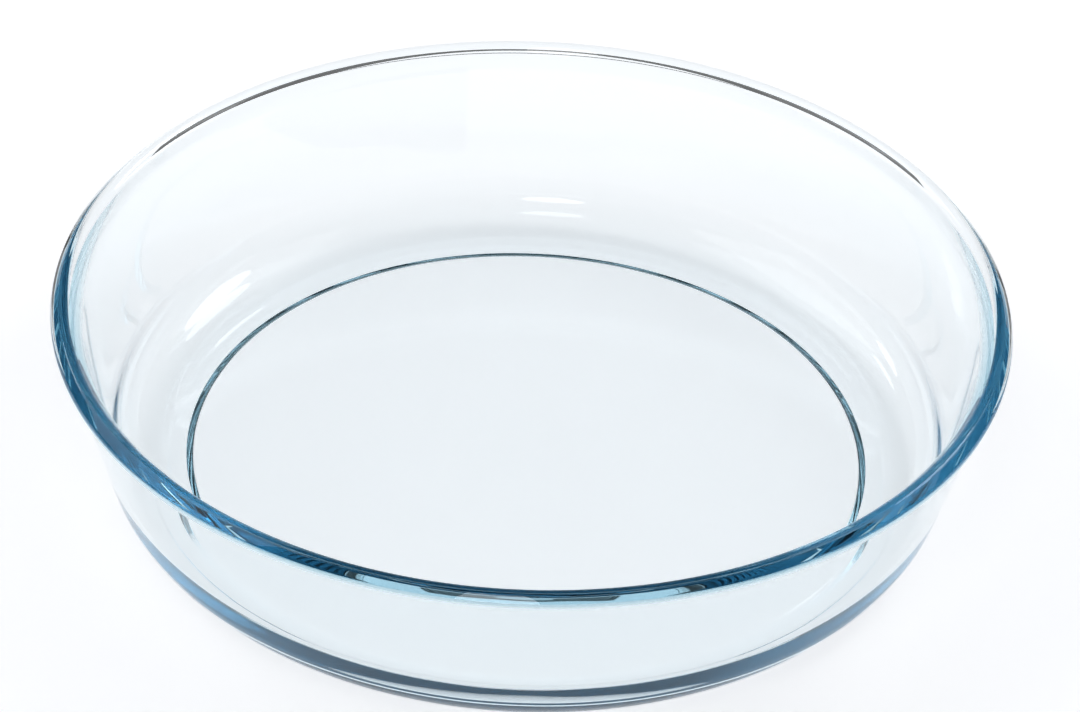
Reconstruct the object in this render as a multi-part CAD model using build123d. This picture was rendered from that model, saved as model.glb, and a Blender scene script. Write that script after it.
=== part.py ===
from build123d import *
import os
from math import cos, radians, tan

# Round pressed-glass pie dish, made in one piece.
# Millimetres, +Z up, with the origin on the axis in the plane that it stands on.

# Overall size
rim_diameter = 260.0
dish_height = 57.3

# Wall
outer_flare = 14.9  # degrees that the outside leans from upright
inner_flare = 14.0  # degrees that the inside leans from upright
wall_thickness = 5.4  # under the lip, square to the outside
heel_radius = 14.8  # outside curve from the wall in under the dish
corner_radius = 7.5  # inside curve from the wall to the floor

# Lip, measured from its outer edge inwards and from its top downwards
lip_overhang = 2.5
neck_depth = 4.9  # where the outer wall meets the lip's underside
underside_depth = 4.2  # where the rising underside meets the outer edge
edge_depth = 2.1  # where the outer edge meets the slope up to the crown
crown_start = 2.6
crown_end = 4.4
shoulder_depth = 3.9  # where the inside slope meets the inner wall
edge_round = 1.7
crown_round = 2.0

# Floor, and the foot ring that stands out below it and below the heel
floor_thickness = 4.7
recess_depth = 2.4  # of the underside inside the ring
inner_step_width = 2.1  # of the slope from the ring's face up to the recessed underside
ring_width = 5.0  # of the flat face that the dish stands on
outer_step_width = 2.4  # of the slope from the ring's face up to the heel
heel_lift = 1.6  # of the heel above the ring's face
heel_ledge = 0.7  # level strip between the heel's curve and the ring

rim_radius = rim_diameter / 2
neck_height = dish_height - neck_depth
shoulder_height = dish_height - shoulder_depth
floor_top = recess_depth + floor_thickness


def outer_wall_radius(height):
    """Radius of the outer wall's straight line."""
    return rim_radius - lip_overhang - (neck_height - height) * tan(radians(outer_flare))


def inner_wall_radius(height):
    """Radius of the inner wall's straight line."""
    under_lip = outer_wall_radius(neck_height) - wall_thickness / cos(radians(outer_flare))
    return under_lip - (neck_height - height) * tan(radians(inner_flare))


def ring_outer_radius():
    """Radius of the outer edge of the ring's face, from where the heel's curve ends."""
    heel_reach = heel_radius * tan(radians(90 - outer_flare) / 2)
    return outer_wall_radius(heel_lift) - heel_reach - heel_ledge - outer_step_width


def dish_section():
    """Half section of the dish, from the axis along the underside and back over the rim."""
    ring_outer = ring_outer_radius()
    ring_inner = ring_outer - ring_width
    corners = [
        (0, recess_depth),
        (ring_inner - inner_step_width, recess_depth),
        (ring_inner, 0),
        (ring_outer, 0),
        (ring_outer + outer_step_width, heel_lift),
        (outer_wall_radius(heel_lift), heel_lift),
        (outer_wall_radius(neck_height), neck_height),
        (rim_radius, dish_height - underside_depth),
        (rim_radius, dish_height - edge_depth),
        (rim_radius - crown_start, dish_height),
        (rim_radius - crown_end, dish_height),
        (inner_wall_radius(shoulder_height), shoulder_height),
        (inner_wall_radius(floor_top), floor_top),
        (0, floor_top),
    ]
    # Of the corners off the axis; the foot ring, the lip's underside and the shoulder stay sharp.
    rounds = [0, 0, 0, 0, heel_radius, 0, 0, edge_round, crown_round, crown_round, 0, corner_radius]
    with BuildSketch(Plane.XZ) as section:
        with BuildLine():
            FilletPolyline(*corners, radius=rounds)
            Line(corners[-1], corners[0])
        make_face()
    return section.sketch


def glass_dish():
    """The dish: its section turned once about the axis."""
    return revolve(dish_section(), axis=Axis.Z)


os.makedirs("parts", exist_ok=True)
export_step(glass_dish(), "parts/glass_dish.step")
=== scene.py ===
from math import acos, atan, cos, pi, radians, sin, tan

import bpy
from mathutils import Matrix, Vector


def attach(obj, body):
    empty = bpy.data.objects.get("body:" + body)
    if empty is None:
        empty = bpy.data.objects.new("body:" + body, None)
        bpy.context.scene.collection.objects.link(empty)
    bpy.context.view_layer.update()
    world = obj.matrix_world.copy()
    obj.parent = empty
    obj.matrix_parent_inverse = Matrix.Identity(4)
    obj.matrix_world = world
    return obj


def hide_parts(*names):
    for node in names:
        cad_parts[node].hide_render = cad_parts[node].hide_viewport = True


# Clear pressed-glass pie dish on a white table, in metres, +Z up.
# The dish stands on z = 0 with its axis on the origin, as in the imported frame.

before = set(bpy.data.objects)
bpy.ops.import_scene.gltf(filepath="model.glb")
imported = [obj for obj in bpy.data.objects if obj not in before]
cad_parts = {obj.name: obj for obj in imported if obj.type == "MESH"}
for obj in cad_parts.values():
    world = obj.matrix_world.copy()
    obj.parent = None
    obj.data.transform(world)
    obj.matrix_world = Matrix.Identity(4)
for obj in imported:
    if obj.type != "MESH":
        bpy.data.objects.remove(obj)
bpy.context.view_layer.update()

# The dish's section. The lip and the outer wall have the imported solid's values. The inner wall,
# the floor, the heel and the foot follow the photograph's bottom line instead, and lie up to
# 1.6 mm from the solid.
rim_radius = 0.130
dish_height = 0.0573
outer_flare = radians(14.9)
inner_flare = radians(12.34)
wall_thickness = 0.0054
heel_radius = 0.0173
corner_radius = 0.0160
lip_overhang = 0.0025
neck_depth = 0.0049
underside_depth = 0.0042
edge_depth = 0.0021
crown_start = 0.0026
crown_end = 0.0044
shoulder_depth = 0.0039
edge_round = 0.0017
crown_round = 0.0020
floor_thickness = 0.00496
recess_depth = 0.00186
inner_step_width = 0.0021
ring_width = 0.0043
outer_step_width = 0.0013
heel_lift = 0.00045
heel_ledge = 0.0003

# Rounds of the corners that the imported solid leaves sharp
step_round = 0.0024
ring_inner_round = 0.0005
ring_outer_round = 0.0020
ledge_round = 0.0010
neck_round = 0.0010
underside_round = 0.0014
shoulder_round = 0.0130

# How finely the section is drawn and turned
turn_steps = 720
arc_step = radians(3)
least_arc_steps = 4
longest_span = 0.0025

# Waviness of the pressed glass: how deep it goes, and for each wave its count round the dish,
# its phase, and how far it turns per metre of height
wave_depth = 0.00006
waves = [(5, 0.3, 25), (11, 1.7, -60), (19, 4.1, 90), (31, 2.6, -140)]

# Glass: refraction, and how much each metre of it takes from red, green and blue
glass_ior = 1.473
absorbed_per_metre = (11.0, 5.0, 2.9)

# Camera, from the photograph's ellipses and outline
picture_width = 1080
picture_height = 712
focal_pixels = 4057
sensor_width = 36
camera_elevation = radians(37.95)
camera_distance = 1.1326
camera_roll = radians(2.326)
foot_centre_pixel = (526.2, 458.6)

# Table, and how bright it looks by itself at some distances from the axis: white far away, with
# painted shade round the dish and less of it under the dish
table_half = 4.0
table_gap = 0.0002
table_albedo = 0.80
table_levels_with_painted_shade = [(0.095, 0.83), (0.107, 0.74), (0.14, 0.74), (0.45, 1.0)]
glow_tint = (0.955, 0.968, 1.0)

# Dark studio: a hood round and over the set, open below its foot, and cards on the table. The flat
# card behind the dish is painted shade on the table, which only the glass sees.
hood_radius = 1.6
hood_foot = radians(5)
hood_step = radians(5)
hood_level = 0.05
card_gap = 0.0005

# Cards: azimuth, near and far distance, half width, height of the far edge, and how bright each
# looks. A card whose two distances are almost the same stands upright.
cards = {
    # Painted shade: a dark sheet lying on the table behind the dish, seen only in the glass
    "Painted shade sheet": (radians(90), 0.28, 0.60, 0.60, 0, 0.18),
    "Dark flag": (radians(325), 0.45, 0.451, 0.32, 0.36, 0.05),
}

# Lamps: shape, azimuth and elevation from the dish, width and height, and how bright each looks
lamp_distance = 1.2
lamps = {
    "Softbox right": ("RECTANGLE", radians(22), radians(47), 0.80, 0.75, 0.80),
    "Softbox left": ("RECTANGLE", radians(168), radians(45), 1.05, 0.85, 1.10),
    "Strip back": ("RECTANGLE", radians(92), radians(16), 1.0, 0.20, 0.6),
    "Bulb right": ("ELLIPSE", radians(34), radians(44), 0.52, 0.28, 4.0),
    "Bulb left": ("ELLIPSE", radians(143), radians(29), 0.26, 0.12, 4.0),
    "Bulb front": ("ELLIPSE", radians(264), radians(55), 0.28, 0.24, 4.0),
}

# How much of its width times height a lamp of each shape fills
lit_shares = {"RECTANGLE": 1, "ELLIPSE": pi / 4}

# Light of the room on all that isn't the glass
room_level = 0.05

# Enough bounces for light that is caught inside the glass of the rim
most_bounces = 40


def turned_back(point, centre, angle):
    """Point turned by an angle about a centre, in the plane of the section."""
    away = point - centre
    across = Vector((-away.y, away.x))
    return centre + away * cos(angle) + across * sin(angle)


def round_corner(before, corner, after, radius):
    """Points of the arc that rounds a corner of the section."""
    back = (Vector(before) - Vector(corner)).normalized()
    ahead = (Vector(after) - Vector(corner)).normalized()
    between = acos(max(-1.0, min(1.0, back.dot(ahead))))
    start = Vector(corner) + back * (radius / tan(between / 2))
    centre = Vector(corner) + (back + ahead).normalized() * (radius / sin(between / 2))
    sweep = pi - between
    if back.x * ahead.y - back.y * ahead.x > 0:
        sweep = -sweep
    steps = max(least_arc_steps, round(abs(sweep) / arc_step))
    return [turned_back(start, centre, sweep * step / steps) for step in range(steps + 1)]


def dish_outline():
    """Half section of the dish, from the axis along the underside and back over the rim."""
    neck_height = dish_height - neck_depth
    shoulder_height = dish_height - shoulder_depth
    floor_top = recess_depth + floor_thickness

    def outer(height):
        return rim_radius - lip_overhang - (neck_height - height) * tan(outer_flare)

    def inner(height):
        under_lip = outer(neck_height) - wall_thickness / cos(outer_flare)
        return under_lip - (neck_height - height) * tan(inner_flare)

    heel_reach = heel_radius * tan(pi / 4 - outer_flare / 2)
    ring_outer = outer(heel_lift) - heel_reach - heel_ledge - outer_step_width
    ring_inner = ring_outer - ring_width
    corners = [
        (0, recess_depth),
        (ring_inner - inner_step_width, recess_depth),
        (ring_inner, 0),
        (ring_outer, 0),
        (ring_outer + outer_step_width, heel_lift),
        (outer(heel_lift), heel_lift),
        (outer(neck_height), neck_height),
        (rim_radius, dish_height - underside_depth),
        (rim_radius, dish_height - edge_depth),
        (rim_radius - crown_start, dish_height),
        (rim_radius - crown_end, dish_height),
        (inner(shoulder_height), shoulder_height),
        (inner(floor_top), floor_top),
        (0, floor_top),
    ]
    rounds = [
        step_round,
        ring_inner_round,
        ring_outer_round,
        ledge_round,
        heel_radius,
        neck_round,
        underside_round,
        edge_round,
        crown_round,
        crown_round,
        shoulder_round,
        corner_radius,
    ]
    points = [Vector(corners[0])]
    for place, radius in enumerate(rounds):
        points += round_corner(*corners[place : place + 3], radius)
    points.append(Vector(corners[-1]))
    return points


def spaced(points):
    """The outline with its long straight stretches divided evenly."""
    result = [points[0]]
    for start, end in zip(points, points[1:]):
        spans = max(1, round((end - start).length / longest_span))
        result += [start.lerp(end, step / spans) for step in range(1, spans + 1)]
    return result


def waviness(angle, height):
    """How far the glass falls short of its round form, from 0 to the full depth of the waves."""
    total = sum(sin(count * angle + phase + turn * height) for count, phase, turn in waves)
    return wave_depth * (1 + total / len(waves)) / 2


def turned_mesh(name, outline, wavy=False):
    """Smooth mesh of an outline turned once about Z, with the glass's waves if it is wavy.

    An end of the outline that lies on the axis is closed there.
    """
    verts = []
    rings = []
    for point in outline:
        steps = turn_steps if point.x > 0 else 1
        rings.append([len(verts) + step % steps for step in range(turn_steps + 1)])
        for step in range(steps):
            angle = 2 * pi * step / turn_steps
            reach = point.x - waviness(angle, point.y) if wavy and steps > 1 else point.x
            verts.append((reach * cos(angle), reach * sin(angle), point.y))
    faces = []
    for low, high in zip(rings, rings[1:]):
        for step in range(turn_steps):
            corners = (low[step], low[step + 1], high[step + 1], high[step])
            faces.append(tuple(dict.fromkeys(corners)))
    mesh = bpy.data.meshes.new(name)
    mesh.from_pydata(verts, [], faces)
    mesh.polygons.foreach_set("use_smooth", [True] * len(mesh.polygons))
    return mesh


def glass_material():
    """Clear glass that takes a little red and green from the light along its way."""
    material = bpy.data.materials.new("Clear pressed glass")
    material.use_nodes = True
    nodes = material.node_tree.nodes
    links = material.node_tree.links
    shader = nodes["Principled BSDF"]
    shader.inputs["Base Color"].default_value = (1, 1, 1, 1)
    shader.inputs["Roughness"].default_value = 0
    shader.inputs["IOR"].default_value = glass_ior
    shader.inputs["Transmission Weight"].default_value = 1
    density = max(absorbed_per_metre)
    tint = [1 - taken / density for taken in absorbed_per_metre]
    absorption = nodes.new("ShaderNodeVolumeAbsorption")
    absorption.inputs["Color"].default_value = (*tint, 1)
    absorption.inputs["Density"].default_value = density
    links.new(absorption.outputs["Volume"], nodes["Material Output"].inputs["Volume"])
    return material


def seen_directly_or_through_glass(nodes, links):
    """Socket that is 1 for rays from the camera, a reflection or the glass, and 0 for the rest."""
    path = nodes.new("ShaderNodeLightPath")
    seen = path.outputs["Is Camera Ray"]
    for kind in ("Is Glossy Ray", "Is Transmission Ray"):
        either = nodes.new("ShaderNodeMath")
        either.operation = "MAXIMUM"
        links.new(seen, either.inputs[0])
        links.new(path.outputs[kind], either.inputs[1])
        seen = either.outputs["Value"]
    return seen


def table_material():
    """White table with a level of its own, which differs under the dish, round it and far away: the
    lower levels near the dish are painted shade.
    """
    material = bpy.data.materials.new("White table")
    material.use_nodes = True
    nodes = material.node_tree.nodes
    links = material.node_tree.links
    nodes.clear()
    reach = table_levels_with_painted_shade[-1][0]
    place = nodes.new("ShaderNodeNewGeometry")
    distance = nodes.new("ShaderNodeVectorMath")
    distance.operation = "LENGTH"
    links.new(place.outputs["Position"], distance.inputs[0])
    share = nodes.new("ShaderNodeMath")
    share.operation = "DIVIDE"
    share.inputs[1].default_value = reach
    links.new(distance.outputs["Value"], share.inputs[0])
    # Painted shade: the table's own glow is lower near the dish than far away
    ramp = nodes.new("ShaderNodeValToRGB")
    while len(ramp.color_ramp.elements) < len(table_levels_with_painted_shade):
        ramp.color_ramp.elements.new(1)
    for stop, (radius, level) in zip(ramp.color_ramp.elements, table_levels_with_painted_shade):
        stop.position = radius / reach
        stop.color = (*[level * part for part in glow_tint], 1)
    links.new(share.outputs["Value"], ramp.inputs["Fac"])
    glow = nodes.new("ShaderNodeEmission")
    links.new(ramp.outputs["Color"], glow.inputs["Color"])
    links.new(seen_directly_or_through_glass(nodes, links), glow.inputs["Strength"])
    matte = nodes.new("ShaderNodeBsdfDiffuse")
    matte.inputs["Color"].default_value = (table_albedo, table_albedo, table_albedo, 1)
    both = nodes.new("ShaderNodeAddShader")
    links.new(glow.outputs["Emission"], both.inputs[0])
    links.new(matte.outputs["BSDF"], both.inputs[1])
    output = nodes.new("ShaderNodeOutputMaterial")
    links.new(both.outputs["Shader"], output.inputs["Surface"])
    return material


def even_material(name, level):
    """Material that looks equally bright from everywhere."""
    material = bpy.data.materials.new(name)
    material.use_nodes = True
    nodes = material.node_tree.nodes
    links = material.node_tree.links
    nodes.clear()
    glow = nodes.new("ShaderNodeEmission")
    glow.inputs["Strength"].default_value = level
    output = nodes.new("ShaderNodeOutputMaterial")
    links.new(glow.outputs["Emission"], output.inputs["Surface"])
    return material


def flat_card(name, azimuth, near, far, half_width, rise):
    """Mesh of one rectangle that lies between two distances from the axis, its far edge raised."""
    ahead = Vector((cos(azimuth), sin(azimuth), 0))
    aside = Vector((-sin(azimuth), cos(azimuth), 0))
    up = Vector((0, 0, 1))
    corners = [
        ahead * near - aside * half_width,
        ahead * near + aside * half_width,
        ahead * far + aside * half_width + up * rise,
        ahead * far - aside * half_width + up * rise,
    ]
    mesh = bpy.data.meshes.new(name)
    mesh.from_pydata(corners, [], [(0, 1, 2, 3)])
    return mesh


def add_stage_object(mesh, material):
    """Object of the set, which is not part of the dish."""
    mesh.materials.append(material)
    thing = bpy.data.objects.new(mesh.name, mesh)
    bpy.context.scene.collection.objects.link(thing)
    return thing


def add_table():
    """Large white table just under the foot."""
    sheet = flat_card("Table", 0, -table_half, table_half, table_half, 0)
    add_stage_object(sheet, table_material()).location.z = -table_gap


def add_glass_only(mesh, level):
    """Evenly bright thing of the set that only the glass sees, and that lights nothing else."""
    thing = add_stage_object(mesh, even_material(mesh.name + " cloth", level))
    thing.visible_camera = False
    thing.visible_diffuse = False
    thing.visible_shadow = False
    return thing


def add_dark_studio():
    """Hood and cards that draw the glass's edges, as in the photograph; the flat card behind the
    dish is painted shade on the table.
    """
    steps = round((pi / 2 - hood_foot) / hood_step)
    angles = [hood_foot + (pi / 2 - hood_foot) * step / steps for step in range(steps)]
    dome = [Vector((cos(angle), sin(angle))) * hood_radius for angle in angles]
    add_glass_only(turned_mesh("Dark hood", [*dome, Vector((0, hood_radius))]), hood_level)
    for name, (*shape, level) in cards.items():
        add_glass_only(flat_card(name, *shape), level).location.z = card_gap - table_gap


def add_dish():
    """The dish's smooth mesh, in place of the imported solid."""
    mesh = turned_mesh("pressed_glass_dish", spaced(dish_outline()), wavy=True)
    mesh.materials.append(glass_material())
    dish = bpy.data.objects.new(mesh.name, mesh)
    bpy.context.scene.collection.objects.link(dish)
    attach(dish, "root")
    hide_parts("glass_dish")


def add_world():
    """White backdrop for the camera and the glass, and a dim room for everything else."""
    world = bpy.data.worlds.new("Studio")
    bpy.context.scene.world = world
    world.use_nodes = True
    nodes = world.node_tree.nodes
    links = world.node_tree.links
    level = nodes.new("ShaderNodeMath")
    level.operation = "MAXIMUM"
    level.inputs[1].default_value = room_level
    links.new(seen_directly_or_through_glass(nodes, links), level.inputs[0])
    links.new(level.outputs["Value"], nodes["Background"].inputs["Strength"])
    nodes["Background"].inputs["Color"].default_value = (1, 1, 1, 1)


def add_lamps():
    """Lamps that face the dish: large soft ones, and small bright ones for its highlights."""
    for name, (shape, azimuth, elevation, width, height, level) in lamps.items():
        aside = cos(elevation)
        towards = Vector((aside * cos(azimuth), aside * sin(azimuth), sin(elevation)))
        data = bpy.data.lights.new(name, "AREA")
        data.shape = shape
        data.size = width
        data.size_y = height
        data.energy = level * pi * width * height * lit_shares[shape]
        lamp = bpy.data.objects.new(name, data)
        lamp.location = towards * lamp_distance
        lamp.rotation_euler = towards.to_track_quat("Z", "Y").to_euler()
        lamp.visible_camera = False
        bpy.context.scene.collection.objects.link(lamp)


def turned_pair(first, second, angle):
    """Two axes at right angles, turned in their plane so that the first moves towards the second."""
    return first * cos(angle) + second * sin(angle), second * cos(angle) - first * sin(angle)


def add_camera():
    """Camera at the photograph's angle, turned so that the foot's centre falls on its pixel."""
    place = Vector((0, -cos(camera_elevation), sin(camera_elevation))) * camera_distance
    ahead = -place.normalized()
    right = Vector((1, 0, 0))
    up = right.cross(ahead)
    yaw = atan((foot_centre_pixel[0] - picture_width / 2) / focal_pixels)
    pitch = atan((foot_centre_pixel[1] - picture_height / 2) / focal_pixels)
    right, up = turned_pair(right, up, camera_roll)
    right, ahead = turned_pair(right, ahead, yaw)
    ahead, up = turned_pair(ahead, up, pitch)
    data = bpy.data.cameras.new("Camera")
    data.sensor_width = sensor_width
    data.lens = focal_pixels / picture_width * sensor_width
    camera = bpy.data.objects.new("Camera", data)
    turn = Matrix((right, up, -ahead)).transposed().to_4x4()
    camera.matrix_world = Matrix.Translation(place) @ turn
    bpy.context.scene.collection.objects.link(camera)
    bpy.context.scene.camera = camera


def set_light_paths():
    """Let light bounce long enough inside the glass."""
    cycles = bpy.context.scene.cycles
    cycles.max_bounces = most_bounces
    cycles.glossy_bounces = most_bounces
    cycles.transmission_bounces = most_bounces


add_table()
add_dark_studio()
add_dish()
add_world()
add_lamps()
add_camera()
set_light_paths()
bpy.context.scene.view_settings.view_transform = "Standard"
